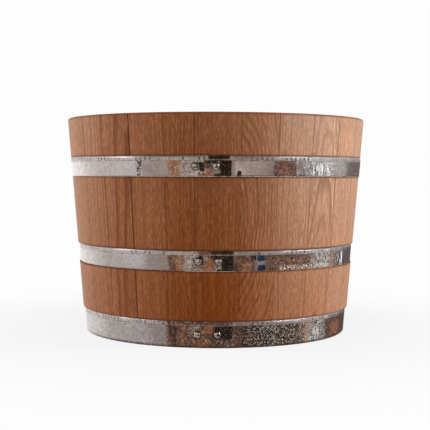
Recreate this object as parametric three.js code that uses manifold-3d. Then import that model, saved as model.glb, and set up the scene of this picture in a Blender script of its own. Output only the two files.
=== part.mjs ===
// Coopered barrel planter: a tapered tub of oak staves, held by three riveted steel hoops,
// with a doweled board floor that sits in a groove cut inside the staves.
//
// Units are millimetres. +Z is up and the origin is the centre of the base, on the ground.
// Angles go round the tub's axis: 0 faces the front (-Y) and they grow towards +X.
import * as THREE from 'three';
import { mergeVertices, toCreasedNormals } from 'three/addons/utils/BufferGeometryUtils.js';
import Module from 'manifold-3d';

const wasm = await Module();
wasm.setup();

const degrees = THREE.MathUtils.degToRad;

// ---------------------------------------------------------------- driving dimensions

// Tub
const TUB_HEIGHT = 425;
const RIM_RADIUS = 300;
const BASE_RADIUS = 265;
const STAVE_THICKNESS = 24;
const RIM_CHAMFER = 2.5;
const CHIME_BEVEL = 6;

// Width of each stave along the rim, in order round the tub from the first joint.
const STAVE_WIDTHS = [
  65, 69, 71, 58, 85, 72, 75, 73, 70, 78, 66, 74, 81,
  62, 76, 71, 84, 68, 73, 79, 64, 77, 72, 69, 80, 73,
];
const FIRST_JOINT_ANGLE = degrees(-57.6);

// Hoops: a strip wound once round the tub, its ends lapped and riveted. The upper edge is
// rolled thinner, which stretches it to the taper of the tub.
const HOOP_THICKNESS = 2;
const ROLLED_BAND_HEIGHT = 8.5;
const ROLLED_BAND_THINNING = 0.8;
const LAP_LENGTH = 85;
const JOGGLE_LENGTH = 11;

// Each hoop's face stands this far out of the staves, or below them where it is negative.
const TOP_HOOP_WIDTH = 37.5;
const TOP_HOOP_BELOW_RIM = 77;
const TOP_HOOP_PROUD = 0.8;
const TOP_LAP_ANGLE = degrees(-3.4);

const MIDDLE_HOOP_WIDTH = 37.5;
const MIDDLE_HOOP_HEIGHT = 140.5;
const MIDDLE_HOOP_PROUD = -2.2;
const MIDDLE_LAP_ANGLE = degrees(-2.5);

const BOTTOM_HOOP_WIDTH = 47.5;
const BOTTOM_HOOP_HEIGHT = 2;
const BOTTOM_HOOP_PROUD = -3.5;
const BOTTOM_LAP_ANGLE = degrees(-3);

// Rivets, two in each lap
const RIVET_PITCH = 36;
const RIVET_SHANK_RADIUS = 3;
const RIVET_HEAD_RADIUS = 6.5;
const RIVET_HEAD_HEIGHT = 3.5;
const RIVET_TAIL_RADIUS = 5;
const RIVET_TAIL_HEIGHT = 1.2;

// Floor: boards across the tub, whose thinned edge fits the groove in the staves
const GROOVE_HEIGHT = 32;
const GROOVE_WIDTH = 8;
const GROOVE_DEPTH = 5;
const FLOOR_THICKNESS = 20;
const FLOOR_BOARDS = 5;
const DRAIN_RADIUS = 7;
const DRAIN_CIRCLE_RADIUS = 150;

// Dowels, two in each joint between floor boards
const DOWEL_RADIUS = 5;
const DOWEL_LENGTH = 50;
const DOWEL_SPACING = 220;
const DOWEL_CHAMFER = 1;

// Clearance between any two pieces that touch
const FIT = 0.3;

// Facets: widest step round the tub, and sides of the small round pieces
const FACET_ANGLE = degrees(4.5);
const LAP_STEPS = 8;
const JOGGLE_STEPS = 3;
const FLOOR_SIDES = 80;
const RIVET_SIDES = 16;
const DOME_STEPS = 4;
const DRAIN_SIDES = 16;
const DOWEL_SIDES = 12;

// ---------------------------------------------------------------- sizes that follow

const taper = (RIM_RADIUS - BASE_RADIUS) / TUB_HEIGHT;
const wallAngle = Math.atan(taper);

// A polygon with its corners on a circle dips inside it by this ratio between two corners.
const facetRatio = Math.cos(FACET_ANGLE / 2);

const hoops = [
  {
    name: 'bottom',
    low: BOTTOM_HOOP_HEIGHT,
    width: BOTTOM_HOOP_WIDTH,
    proud: BOTTOM_HOOP_PROUD,
    lapAngle: BOTTOM_LAP_ANGLE,
    seatRunsOut: true,
  },
  {
    name: 'middle',
    low: MIDDLE_HOOP_HEIGHT,
    width: MIDDLE_HOOP_WIDTH,
    proud: MIDDLE_HOOP_PROUD,
    lapAngle: MIDDLE_LAP_ANGLE,
    seatRunsOut: false,
  },
  {
    name: 'top',
    low: TUB_HEIGHT - TOP_HOOP_BELOW_RIM - TOP_HOOP_WIDTH,
    width: TOP_HOOP_WIDTH,
    proud: TOP_HOOP_PROUD,
    lapAngle: TOP_LAP_ANGLE,
    seatRunsOut: false,
  },
];

function outerRadius(height) {
  return BASE_RADIUS + taper * height;
}

function innerRadius(height) {
  return outerRadius(height) - STAVE_THICKNESS;
}

// The turned recess in the staves that a hoop sits in
function seatRadius(hoop, height) {
  return outerRadius(height) + hoop.proud - HOOP_THICKNESS - FIT;
}

// The inner face of a hoop's strip, grown so that its facets stay clear of the staves
function hoopRadius(hoop, height) {
  return (seatRadius(hoop, height) + FIT) / facetRatio;
}

const lapOffset = HOOP_THICKNESS + FIT;

// ---------------------------------------------------------------- materials

const OAK_COLOUR = 0x8f5a38;
const INNER_OAK_COLOUR = 0x9a7350;
const DOWEL_COLOUR = 0xb8905f;
const HOOP_COLOUR = 0x8e8882;
const RIVET_COLOUR = 0x6f6964;

// Repeats a few lightness steps, so that neighbouring boards differ
const BOARD_TONES = [0, 0.03, -0.02, 0.015, -0.035];

function wood(colour, index) {
  const tone = BOARD_TONES[index % BOARD_TONES.length];
  return new THREE.MeshStandardMaterial({
    color: new THREE.Color(colour).offsetHSL(0, 0, tone),
    roughness: 0.6,
    metalness: 0,
  });
}

function steel(colour) {
  return new THREE.MeshStandardMaterial({
    color: colour,
    roughness: 0.45,
    metalness: 0.9,
  });
}

// ---------------------------------------------------------------- geometry helpers

function onTub(radius, angle, height) {
  return new THREE.Vector3(radius * Math.sin(angle), -radius * Math.cos(angle), height);
}

// A closed solid that carries an outline of [radius, height] points round the tub.
// place(point, station) gives a point's position at one of the stations along the way.
function sweptGeometry(outline, stationCount, place) {
  const positions = [];
  for (let station = 0; station < stationCount; station++) {
    for (const point of outline) {
      positions.push(...place(point, station).toArray());
    }
  }
  const index = [];
  const size = outline.length;
  for (let station = 0; station < stationCount - 1; station++) {
    for (let i = 0; i < size; i++) {
      const here = station * size + i;
      const next = station * size + ((i + 1) % size);
      index.push(here, here + size, next + size);
      index.push(here, next + size, next);
    }
  }
  const flat = outline.map(([radius, height]) => new THREE.Vector2(radius, height));
  const lastStation = (stationCount - 1) * size;
  for (const [a, b, c] of THREE.ShapeUtils.triangulateShape(flat, [])) {
    index.push(a, b, c);
    index.push(lastStation + c, lastStation + b, lastStation + a);
  }
  const geometry = new THREE.BufferGeometry();
  geometry.setAttribute('position', new THREE.Float32BufferAttribute(positions, 3));
  geometry.setIndex(index);
  return geometry;
}

// A solid of revolution about +Z from [radius, height] points that start and end on the axis
function turnedGeometry(outline, sides) {
  const profile = outline.map(([radius, height]) => new THREE.Vector2(radius, height));
  return new THREE.LatheGeometry(profile, sides).rotateX(Math.PI / 2);
}

function cylinderGeometry(radius, length, sides) {
  return new THREE.CylinderGeometry(radius, radius, length, sides).rotateX(Math.PI / 2);
}

function solidOf(geometry) {
  const bare = geometry.clone();
  bare.deleteAttribute('normal');
  bare.deleteAttribute('uv');
  const merged = mergeVertices(bare);
  const mesh = new wasm.Mesh({
    numProp: 3,
    vertProperties: new Float32Array(merged.attributes.position.array),
    triVerts: new Uint32Array(merged.index.array),
  });
  return new wasm.Manifold(mesh);
}

function geometryOf(solid) {
  const mesh = solid.getMesh();
  const geometry = new THREE.BufferGeometry();
  geometry.setAttribute('position', new THREE.BufferAttribute(mesh.vertProperties, 3));
  geometry.setIndex(new THREE.BufferAttribute(mesh.triVerts, 1));
  return geometry;
}

function cut(geometry, cutters) {
  let solid = solidOf(geometry);
  for (const cutter of cutters) {
    solid = solid.subtract(solidOf(cutter));
  }
  return geometryOf(solid);
}

const CREASE_ANGLE = degrees(30);
const planter = new THREE.Group();

function addPiece(name, geometry, material) {
  const bare = geometry.clone();
  bare.deleteAttribute('normal');
  bare.deleteAttribute('uv');
  const mesh = new THREE.Mesh(toCreasedNormals(bare, CREASE_ANGLE), material);
  mesh.name = name;
  planter.add(mesh);
  return mesh;
}

// ---------------------------------------------------------------- rivets

// Heights along a rivet, from the outer face of the lap inwards
const rivetLapInside = -(HOOP_THICKNESS + lapOffset);
const rivetTailTop = rivetLapInside - FIT;
const rivetTailEnd = rivetTailTop - RIVET_TAIL_HEIGHT;

// Places a rivet's own axis square to the lap: local +Z points out of the tub
function rivetMatrix(hoop, side) {
  const height = hoop.low + hoop.width / 2;
  const faceRadius = hoopRadius(hoop, height) + lapOffset + HOOP_THICKNESS;
  const angle = hoop.lapAngle + (side * RIVET_PITCH) / 2 / faceRadius;
  const outwards = onTub(Math.cos(wallAngle), angle, -Math.sin(wallAngle));
  const turn = new THREE.Quaternion().setFromUnitVectors(new THREE.Vector3(0, 0, 1), outwards);
  const place = onTub(faceRadius, angle, height);
  return new THREE.Matrix4().compose(place, turn, new THREE.Vector3(1, 1, 1));
}

const rivets = [];
for (const hoop of hoops) {
  rivets.push({ name: `rivet_${hoop.name}_left`, hoop, matrix: rivetMatrix(hoop, -1) });
  rivets.push({ name: `rivet_${hoop.name}_right`, hoop, matrix: rivetMatrix(hoop, 1) });
}

function rivetGeometry() {
  const outline = [
    [0, rivetTailEnd],
    [RIVET_TAIL_RADIUS, rivetTailEnd],
    [RIVET_TAIL_RADIUS, rivetTailTop],
    [RIVET_SHANK_RADIUS, rivetTailTop],
    [RIVET_SHANK_RADIUS, FIT],
  ];
  for (let step = 0; step <= DOME_STEPS; step++) {
    const angle = (step / DOME_STEPS) * (Math.PI / 2);
    const radius = step === DOME_STEPS ? 0 : RIVET_HEAD_RADIUS * Math.cos(angle);
    outline.push([radius, FIT + RIVET_HEAD_HEIGHT * Math.sin(angle)]);
  }
  return turnedGeometry(outline, RIVET_SIDES);
}

for (const rivet of rivets) {
  const mesh = addPiece(rivet.name, rivetGeometry(), steel(RIVET_COLOUR));
  rivet.matrix.decompose(mesh.position, mesh.quaternion, mesh.scale);
}

// The hole for a rivet's shank, through both layers of the lap
function rivetHole(rivet) {
  const length = 2 * (HOOP_THICKNESS + lapOffset);
  const hole = cylinderGeometry(RIVET_SHANK_RADIUS + FIT, length, RIVET_SIDES);
  return hole.translate(0, 0, rivetLapInside / 2).applyMatrix4(rivet.matrix);
}

// The pocket in the staves that a rivet's flat tail beds into
function tailPocket(rivet) {
  const length = 2 * (RIVET_TAIL_HEIGHT + FIT);
  const pocket = cylinderGeometry(RIVET_TAIL_RADIUS + FIT, length, RIVET_SIDES);
  return pocket.translate(0, 0, rivetTailEnd - FIT + length / 2).applyMatrix4(rivet.matrix);
}

// ---------------------------------------------------------------- hoops

function hoopOutline(hoop) {
  const high = hoop.low + hoop.width;
  const bandLow = high - ROLLED_BAND_HEIGHT;
  return [
    [hoopRadius(hoop, hoop.low) + HOOP_THICKNESS, hoop.low],
    [hoopRadius(hoop, bandLow) + HOOP_THICKNESS, bandLow],
    [hoopRadius(hoop, high) + HOOP_THICKNESS - ROLLED_BAND_THINNING, high],
    [hoopRadius(hoop, high), high],
    [hoopRadius(hoop, hoop.low), hoop.low],
  ];
}

// The strip starts at its outer end, lies over the lap, joggles in to the staves, goes once
// round the tub, and ends under the lap, one facet short of the joggle.
function hoopStations(hoop) {
  const radius = hoopRadius(hoop, hoop.low + hoop.width / 2);
  const lap = LAP_LENGTH / radius;
  const joggle = JOGGLE_LENGTH / radius;
  const outerEnd = hoop.lapAngle - lap / 2;
  const stations = [];
  for (let step = 0; step <= LAP_STEPS; step++) {
    stations.push({ angle: outerEnd + (lap * step) / LAP_STEPS, offset: lapOffset });
  }
  for (let step = 1; step <= JOGGLE_STEPS; step++) {
    const share = step / JOGGLE_STEPS;
    const drop = THREE.MathUtils.smoothstep(share, 0, 1);
    stations.push({ angle: outerEnd + lap + joggle * share, offset: lapOffset * (1 - drop) });
  }
  const single = 2 * Math.PI - lap - joggle;
  const singleSteps = Math.ceil(single / FACET_ANGLE);
  for (let step = 1; step <= singleSteps; step++) {
    const angle = outerEnd + lap + joggle + (single * step) / singleSteps;
    stations.push({ angle, offset: 0 });
  }
  for (let step = 1; step < LAP_STEPS; step++) {
    stations.push({ angle: outerEnd + 2 * Math.PI + (lap * step) / LAP_STEPS, offset: 0 });
  }
  return stations;
}

for (const hoop of hoops) {
  const stations = hoopStations(hoop);
  const strip = sweptGeometry(hoopOutline(hoop), stations.length, ([radius, height], index) => {
    const { angle, offset } = stations[index];
    return onTub(radius + offset, angle, height);
  });
  const holes = rivets.filter((rivet) => rivet.hoop === hoop).map(rivetHole);
  addPiece(`hoop_${hoop.name}`, cut(strip, holes), steel(HOOP_COLOUR));
}

// ---------------------------------------------------------------- staves

function staveOutline() {
  const outline = [];
  for (const hoop of hoops) {
    const low = hoop.low - FIT;
    const high = hoop.low + hoop.width + FIT;
    if (hoop.seatRunsOut) {
      outline.push([seatRadius(hoop, 0), 0]);
    } else {
      outline.push([outerRadius(low), low]);
      outline.push([seatRadius(hoop, low), low]);
    }
    outline.push([seatRadius(hoop, high), high]);
    outline.push([outerRadius(high), high]);
  }
  const rim = TUB_HEIGHT - RIM_CHAMFER;
  const grooveTop = GROOVE_HEIGHT + GROOVE_WIDTH;
  outline.push([outerRadius(rim), rim]);
  outline.push([outerRadius(TUB_HEIGHT) - RIM_CHAMFER, TUB_HEIGHT]);
  outline.push([innerRadius(TUB_HEIGHT) + RIM_CHAMFER, TUB_HEIGHT]);
  outline.push([innerRadius(rim), rim]);
  outline.push([innerRadius(grooveTop), grooveTop]);
  outline.push([innerRadius(grooveTop) + GROOVE_DEPTH, grooveTop]);
  outline.push([innerRadius(GROOVE_HEIGHT) + GROOVE_DEPTH, GROOVE_HEIGHT]);
  outline.push([innerRadius(GROOVE_HEIGHT), GROOVE_HEIGHT]);
  outline.push([innerRadius(CHIME_BEVEL), CHIME_BEVEL]);
  outline.push([innerRadius(0) + CHIME_BEVEL, 0]);
  return outline;
}

// Both sides of a stave are planes through the tub's axis, set back by half the joint's gap.
function staveGeometry(from, to) {
  const steps = Math.ceil((to - from) / FACET_ANGLE);
  return sweptGeometry(staveOutline(), steps + 1, ([radius, height], station) => {
    const setBack = Math.asin(FIT / 2 / radius);
    const angle = THREE.MathUtils.lerp(from + setBack, to - setBack, station / steps);
    return onTub(radius, angle, height);
  });
}

function rivetsBehind(from, to) {
  const reach = (RIVET_TAIL_RADIUS + 2 * FIT) / BASE_RADIUS;
  return rivets.filter(({ matrix }) => {
    const place = new THREE.Vector3().setFromMatrixPosition(matrix);
    const fromMiddle = Math.atan2(place.x, -place.y) - (from + to) / 2;
    const wrapped = THREE.MathUtils.euclideanModulo(fromMiddle + Math.PI, 2 * Math.PI) - Math.PI;
    return Math.abs(wrapped) < (to - from) / 2 + reach;
  });
}

const widthSum = STAVE_WIDTHS.reduce((sum, width) => sum + width, 0);
let jointAngle = FIRST_JOINT_ANGLE;
STAVE_WIDTHS.forEach((width, index) => {
  const nextAngle = jointAngle + (2 * Math.PI * width) / widthSum;
  const pockets = rivetsBehind(jointAngle, nextAngle).map(tailPocket);
  const plain = staveGeometry(jointAngle, nextAngle);
  const stave = pockets.length > 0 ? cut(plain, pockets) : plain;
  const number = String(index + 1).padStart(2, '0');
  addPiece(`stave_${number}`, stave, wood(OAK_COLOUR, index));
  jointAngle = nextAngle;
});

// ---------------------------------------------------------------- floor

const tongueLow = GROOVE_HEIGHT + FIT;
const tongueHigh = GROOVE_HEIGHT + GROOVE_WIDTH - FIT;
const tongueRadius = (innerRadius(GROOVE_HEIGHT) + GROOVE_DEPTH) * facetRatio - FIT;
const floorMiddle = GROOVE_HEIGHT + GROOVE_WIDTH / 2;
const floorLow = floorMiddle - FLOOR_THICKNESS / 2;
const floorHigh = floorMiddle + FLOOR_THICKNESS / 2;
const boardPitch = (2 * tongueRadius) / FLOOR_BOARDS;

// The whole floor as one disc. Both faces are bevelled down to the tongue at its edge.
function floorDisc() {
  const underWall = innerRadius(tongueLow) * facetRatio - FIT;
  const overWall = innerRadius(tongueHigh) * facetRatio - FIT;
  const outline = [
    [0, floorLow],
    [underWall - (tongueLow - floorLow), floorLow],
    [underWall, tongueLow],
    [tongueRadius, tongueLow],
    [tongueRadius, tongueHigh],
    [overWall, tongueHigh],
    [overWall - (floorHigh - tongueHigh), floorHigh],
    [0, floorHigh],
  ];
  return turnedGeometry(outline, FLOOR_SIDES);
}

function boardJoint(number) {
  return number * boardPitch - tongueRadius;
}

const dowelPlaces = [];
for (let joint = 1; joint < FLOOR_BOARDS; joint++) {
  for (const side of [-1, 1]) {
    dowelPlaces.push(new THREE.Vector3(boardJoint(joint), (side * DOWEL_SPACING) / 2, floorMiddle));
  }
}

const drainPlaces = [new THREE.Vector3(0, 0, floorMiddle)];
for (let quarter = 0; quarter < 4; quarter++) {
  drainPlaces.push(onTub(DRAIN_CIRCLE_RADIUS, ((quarter + 0.5) * Math.PI) / 2, floorMiddle));
}

function dowelHole(place) {
  const hole = cylinderGeometry(DOWEL_RADIUS + FIT, DOWEL_LENGTH + 2 * FIT, DOWEL_SIDES);
  return hole.rotateY(Math.PI / 2).translate(...place);
}

function drainHole(place) {
  return cylinderGeometry(DRAIN_RADIUS, 2 * FLOOR_THICKNESS, DRAIN_SIDES).translate(...place);
}

function dowelGeometry() {
  const end = DOWEL_LENGTH / 2;
  const outline = [
    [0, -end],
    [DOWEL_RADIUS - DOWEL_CHAMFER, -end],
    [DOWEL_RADIUS, DOWEL_CHAMFER - end],
    [DOWEL_RADIUS, end - DOWEL_CHAMFER],
    [DOWEL_RADIUS - DOWEL_CHAMFER, end],
    [0, end],
  ];
  return turnedGeometry(outline, DOWEL_SIDES).rotateY(Math.PI / 2);
}

const floorHoles = [...dowelPlaces.map(dowelHole), ...drainPlaces.map(drainHole)];
const disc = solidOf(floorDisc());
for (let board = 0; board < FLOOR_BOARDS; board++) {
  const width = boardPitch - FIT;
  const slab = new THREE.BoxGeometry(width, 2 * BASE_RADIUS, 2 * FLOOR_THICKNESS);
  slab.translate(boardJoint(board + 0.5), 0, floorMiddle);
  const plank = geometryOf(disc.intersect(solidOf(slab)));
  addPiece(`floor_board_${board + 1}`, cut(plank, floorHoles), wood(INNER_OAK_COLOUR, board));
}

dowelPlaces.forEach((place, index) => {
  const dowel = addPiece(`dowel_${index + 1}`, dowelGeometry(), wood(DOWEL_COLOUR, index));
  dowel.position.copy(place);
});

export default planter;
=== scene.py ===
"""Looks of a coopered oak barrel planter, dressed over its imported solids.

Blender 4.5, metres, +Z up. The front is -Y. Angles go round the tub's axis: 0 faces the front
and they grow towards +X.
"""

import math
import random
from collections import namedtuple

import bmesh
import bpy
import numpy as np
from mathutils import Matrix, Vector


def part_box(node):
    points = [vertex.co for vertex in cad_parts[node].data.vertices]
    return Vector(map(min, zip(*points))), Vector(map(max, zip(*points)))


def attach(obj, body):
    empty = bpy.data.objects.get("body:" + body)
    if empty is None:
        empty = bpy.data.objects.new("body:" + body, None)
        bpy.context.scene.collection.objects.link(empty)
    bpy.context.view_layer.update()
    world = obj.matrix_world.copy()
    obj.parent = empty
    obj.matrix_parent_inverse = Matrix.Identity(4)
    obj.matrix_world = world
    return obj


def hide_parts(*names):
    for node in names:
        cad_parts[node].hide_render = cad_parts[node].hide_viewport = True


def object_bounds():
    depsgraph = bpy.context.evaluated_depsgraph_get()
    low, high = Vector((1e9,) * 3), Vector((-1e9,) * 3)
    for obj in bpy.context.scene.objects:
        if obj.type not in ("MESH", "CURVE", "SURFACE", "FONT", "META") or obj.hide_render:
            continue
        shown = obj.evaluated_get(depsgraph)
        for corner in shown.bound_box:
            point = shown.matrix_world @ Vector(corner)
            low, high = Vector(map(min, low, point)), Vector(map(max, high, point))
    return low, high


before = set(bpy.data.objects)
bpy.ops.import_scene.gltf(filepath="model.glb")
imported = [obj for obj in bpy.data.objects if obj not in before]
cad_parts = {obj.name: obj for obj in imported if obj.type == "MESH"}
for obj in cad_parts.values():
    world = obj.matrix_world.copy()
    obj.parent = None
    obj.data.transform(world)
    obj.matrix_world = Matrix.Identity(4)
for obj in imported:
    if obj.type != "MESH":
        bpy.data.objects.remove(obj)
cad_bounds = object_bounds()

MM = 0.001
scene = bpy.context.scene

# ---------------------------------------------------------------- sizes of the tub

TUB_HEIGHT = cad_bounds[1].z
RIM_RADIUS = 300 * MM
BASE_RADIUS = 265 * MM
TAPER = (RIM_RADIUS - BASE_RADIUS) / TUB_HEIGHT
WALL_ANGLE = math.atan(TAPER)
STAVE_THICKNESS = 24 * MM
RIM_CHAMFER = 2.5 * MM
CHIME_BEVEL = 6 * MM
GROOVE_LOW = 32 * MM
GROOVE_HIGH = 40 * MM
GROOVE_DEPTH = 5 * MM
FIT = 0.3 * MM

HOOP_THICKNESS = 2 * MM
BAND_HEIGHT = 8.5 * MM
BAND_THINNING = 0.8 * MM
LAP_LENGTH = 85 * MM
JOGGLE_LENGTH = 11 * MM
LAP_SETBACK = LAP_LENGTH / 8
LAP_OFFSET = HOOP_THICKNESS + FIT

RIVET_PITCH = 36 * MM
HEAD_RADIUS = 6.5 * MM
HEAD_HEIGHT = 3.8 * MM
SHANK_RADIUS = 3 * MM
TAIL_RADIUS = 5 * MM
TAIL_HEIGHT = 1.2 * MM

# Each hoop's face stands this far out of the staves, and its lap is centred on this angle in
# degrees.
HOOP_PROUD = {"top": 0.8 * MM, "middle": -2.2 * MM, "bottom": -3.5 * MM}
HOOP_LAP = {"top": -3.4, "middle": -2.5, "bottom": -3}

# How far handwork strays from the exact solids
STAVE_ARRIS = 0.55 * MM
STAVE_LIFT = 0.15 * MM
STAVE_TILT = math.radians(0.5)
HOOP_ARRIS = 0.6 * MM
HOOP_WAVE = 0.9 * MM
LAP_BEATING = 1.6 * MM
DIMPLE_DEPTH = 0.7 * MM
DIMPLE_REACH = 13 * MM
HEAD_DENT = 0.6 * MM

# How finely the round shapes are cut
STAVE_STEPS = 13
HOOP_STEPS = 900
STRIP_ROWS = 12
RIVET_SIDES = 36
DOME_STEPS = 10

STAVE_NODES = sorted(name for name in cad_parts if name.startswith("stave_"))


def outer_radius(height):
    return BASE_RADIUS + TAPER * height


def inner_radius(height):
    return outer_radius(height) - STAVE_THICKNESS


class Hoop:
    """A hoop's place, taken from its solid."""

    def __init__(self, name):
        low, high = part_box("hoop_" + name)
        self.name = name
        self.low = low.z
        self.high = high.z
        self.middle = (low.z + high.z) / 2
        self.proud = HOOP_PROUD[name]
        self.lap_angle = math.radians(HOOP_LAP[name])
        self.seat_runs_out = self.low < CHIME_BEVEL

    def face_radius(self, height):
        """Outer face of the strip where it is single"""
        return outer_radius(height) + self.proud

    def seat_radius(self, height):
        return self.face_radius(height) - HOOP_THICKNESS - FIT

    def rivet_angle(self, side):
        return self.lap_angle + side * RIVET_PITCH / 2 / self.face_radius(self.middle)


HOOPS = [Hoop(name) for name in ("bottom", "middle", "top")]


def on_tub(radius, angle, height):
    return Vector((radius * math.sin(angle), -radius * math.cos(angle), height))


def read_vectors(elements, key):
    """A vector of each element of a mesh, one row each"""
    values = np.empty(len(elements) * 3)
    elements.foreach_get(key, values)
    return values.reshape(-1, 3)


def facing(points, angle):
    """How far points lie across and outward, for someone who faces the tub at an angle"""
    across = points[:, 0] * math.cos(angle) + points[:, 1] * math.sin(angle)
    outward = points[:, 0] * math.sin(angle) - points[:, 1] * math.cos(angle)
    return across, outward


def stave_span(name):
    """The first and last angle of a stave"""
    points = read_vectors(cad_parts[name].data.vertices, "co")
    centre = points.mean(axis=0)
    middle = math.atan2(centre[0], -centre[1])
    angles = np.arctan2(*facing(points, middle))
    return middle + angles.min(), middle + angles.max()


def add_object(name, data):
    thing = bpy.data.objects.new(name, data)
    scene.collection.objects.link(thing)
    return thing


# ---------------------------------------------------------------- building node trees


class Value:
    """A node's output. Arithmetic on it adds the node that works out the result."""

    def __init__(self, tree, socket):
        self.tree = tree
        self.socket = socket

    def __add__(self, other):
        return self.tree.combine("ADD", self, other)

    def __sub__(self, other):
        return self.tree.combine("SUBTRACT", self, other)

    def __rsub__(self, other):
        return self.tree.combine("SUBTRACT", other, self)

    def __mul__(self, other):
        return self.tree.combine("MULTIPLY", self, other)

    def __truediv__(self, other):
        return self.tree.combine("DIVIDE", self, other)

    def __neg__(self):
        return self * -1

    def __abs__(self):
        return self.tree.math("ABSOLUTE", self)


def is_vector(value):
    if isinstance(value, Value):
        return value.socket.type in ("VECTOR", "RGBA")
    return isinstance(value, tuple)


class Tree:
    """Adds nodes to a tree. Each input is a plain value, or the Value to link to it."""

    def __init__(self, tree, owner=None):
        self.tree = tree
        self.owner = owner

    def new_node(self, kind, inputs, settings):
        node = self.tree.nodes.new(kind)
        for name, value in settings.items():
            setattr(node, name, value)
        self.fill(node.inputs, inputs or {})
        return node

    def fill(self, sockets, inputs):
        for key, value in inputs.items():
            if isinstance(value, Value):
                self.tree.links.new(value.socket, sockets[key])
            else:
                sockets[key].default_value = value

    def add(self, kind, inputs=None, out=0, family="ShaderNode", **settings):
        """One output of a new node"""
        return Value(self, self.new_node(family + kind, inputs, settings).outputs[out])

    def add_all(self, kind, inputs=None, **settings):
        """All outputs of a new node, by name"""
        node = self.new_node("ShaderNode" + kind, inputs, settings)
        return {socket.name: Value(self, socket) for socket in node.outputs}

    def group(self, tree, inputs):
        return self.add_all("Group", inputs, node_tree=tree)

    def math(self, operation, *values, clamp=False):
        inputs = dict(enumerate(values))
        return self.add("Math", inputs, operation=operation, use_clamp=clamp)

    def vector(self, operation, *values, out="Vector"):
        return self.add("VectorMath", dict(enumerate(values)), out, operation=operation)

    def combine(self, operation, *values):
        """Arithmetic on numbers, or on vectors where one of the values is a vector"""
        if not any(is_vector(value) for value in values):
            return self.math(operation, *values)
        plain = (int, float)
        return self.vector(operation, *((v,) * 3 if isinstance(v, plain) else v for v in values))

    def larger(self, first, second):
        return self.math("MAXIMUM", first, second)

    def length(self, vector):
        return self.vector("LENGTH", vector, out="Value")

    def dot(self, first, second):
        return self.vector("DOT_PRODUCT", first, second, out="Value")

    def split(self, vector):
        return list(self.add_all("SeparateXYZ", {0: vector}).values())

    def join(self, x, y, z=0):
        return self.add("CombineXYZ", {0: x, 1: y, 2: z})

    def blend(self, factor, first, second):
        """Mixes two numbers"""
        return self.add("Mix", {0: factor, 2: first, 3: second})

    def mix(self, factor, first, second, blend_type="MIX"):
        """Mixes two colours"""
        inputs = {0: factor, 6: first, 7: second}
        return self.add("Mix", inputs, 2, data_type="RGBA", blend_type=blend_type)

    def range(self, value, low, high, to_low=0, to_high=1):
        inputs = {0: value, 1: low, 2: high, 3: to_low, 4: to_high}
        return self.add("MapRange", inputs, interpolation_type="SMOOTHSTEP")

    def fall(self, value, low, high):
        return self.range(value, low, high, 1, 0)

    def noise(self, vector, scale=1, detail=3, roughness=0.5, out=0):
        inputs = {"Vector": vector, "Scale": scale, "Detail": detail, "Roughness": roughness}
        return self.add("TexNoise", inputs, out)

    def shake(self, vector, scale=1, detail=2):
        """A noise in three directions, about zero"""
        return self.noise(vector, scale, detail, out=1) - 0.5

    def attribute(self, name, out="Vector"):
        return self.add("Attribute", None, out, attribute_name=name)

    def ramp(self, factor, stops):
        """A colour ramp from (place, colour) stops"""
        node = self.new_node("ShaderNodeValToRGB", {0: factor}, {})
        elements = node.color_ramp.elements
        elements[0].position, elements[0].color = stops[0]
        elements[1].position, elements[1].color = stops[-1]
        for place, colour in stops[1:-1]:
            elements.new(place).color = colour
        return Value(self, node.outputs[0])

    def bump(self, height, distance, strength):
        return self.add("Bump", {"Height": height, "Distance": distance, "Strength": strength})

    def show(self, kind, surface):
        """Ends the tree of a material or world in its surface, and returns its owner."""
        self.new_node("ShaderNodeOutput" + kind, {"Surface": surface}, {})
        return self.owner

    def finish(self, *values):
        """Gives a group its results, in order, and returns its tree."""
        result = self.tree.nodes.new("NodeGroupOutput")
        self.fill(result.inputs, dict(enumerate(values)))
        return self.tree

    def shape(self, kind, inputs=None, out=0, **settings):
        return self.add(kind, inputs, out, "GeometryNode", **settings)

    def geometry_of(self, thing):
        return self.shape("ObjectInfo", {"Object": thing}, "Geometry")

    def keep(self, geometry, name, value):
        """Stores a value on the points, under a name"""
        kind = "FLOAT_VECTOR" if is_vector(value) else "FLOAT"
        inputs = {"Geometry": geometry, "Name": name, "Value": value}
        return self.shape("StoreNamedAttribute", inputs, data_type=kind, domain="POINT")

    def carry(self, path, outline):
        """The solid that an outline leaves when a path carries it, upright all the way"""
        upright = self.shape("SetCurveNormal", {"Curve": path}, mode="Z_UP")
        profile = self.geometry_of(outline)
        inputs = {"Curve": upright, "Profile Curve": profile, "Fill Caps": True}
        return self.shape("CurveToMesh", inputs)

    def finish_shape(self, geometry, offset, material):
        """Moves each point by its offset, then ends in real, smooth-shaded geometry."""
        moved = self.shape("SetPosition", {"Geometry": geometry, "Offset": offset})
        smooth = self.shape("SetShadeSmooth", {"Geometry": moved})
        real = self.shape("RealizeInstances", {"Geometry": smooth})
        return self.finish(self.shape("SetMaterial", {"Geometry": real, "Material": material}))


def new_group(name, inputs, output_type, *outputs):
    """A node group and its inputs, each given by its default, or by its type if it has none"""
    kind = "GeometryNodeTree" if output_type == "Geometry" else "ShaderNodeTree"
    tree = bpy.data.node_groups.new(name, kind)
    for label, given in inputs.items():
        typed = isinstance(given, str)
        socket_type = "NodeSocket" + (given if typed else type(given).__name__.title())
        socket = tree.interface.new_socket(label, in_out="INPUT", socket_type=socket_type)
        if not typed:
            socket.default_value = given
    for label in outputs:
        tree.interface.new_socket(
            label, in_out="OUTPUT", socket_type="NodeSocket" + output_type
        )
    t = Tree(tree)
    sockets = tree.nodes.new("NodeGroupInput").outputs
    return t, {socket.name: Value(t, socket) for socket in sockets}


def clear_tree(owner):
    """The emptied node tree of a material or world"""
    owner.use_nodes = True
    owner.node_tree.nodes.clear()
    return Tree(owner.node_tree, owner)


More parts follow.
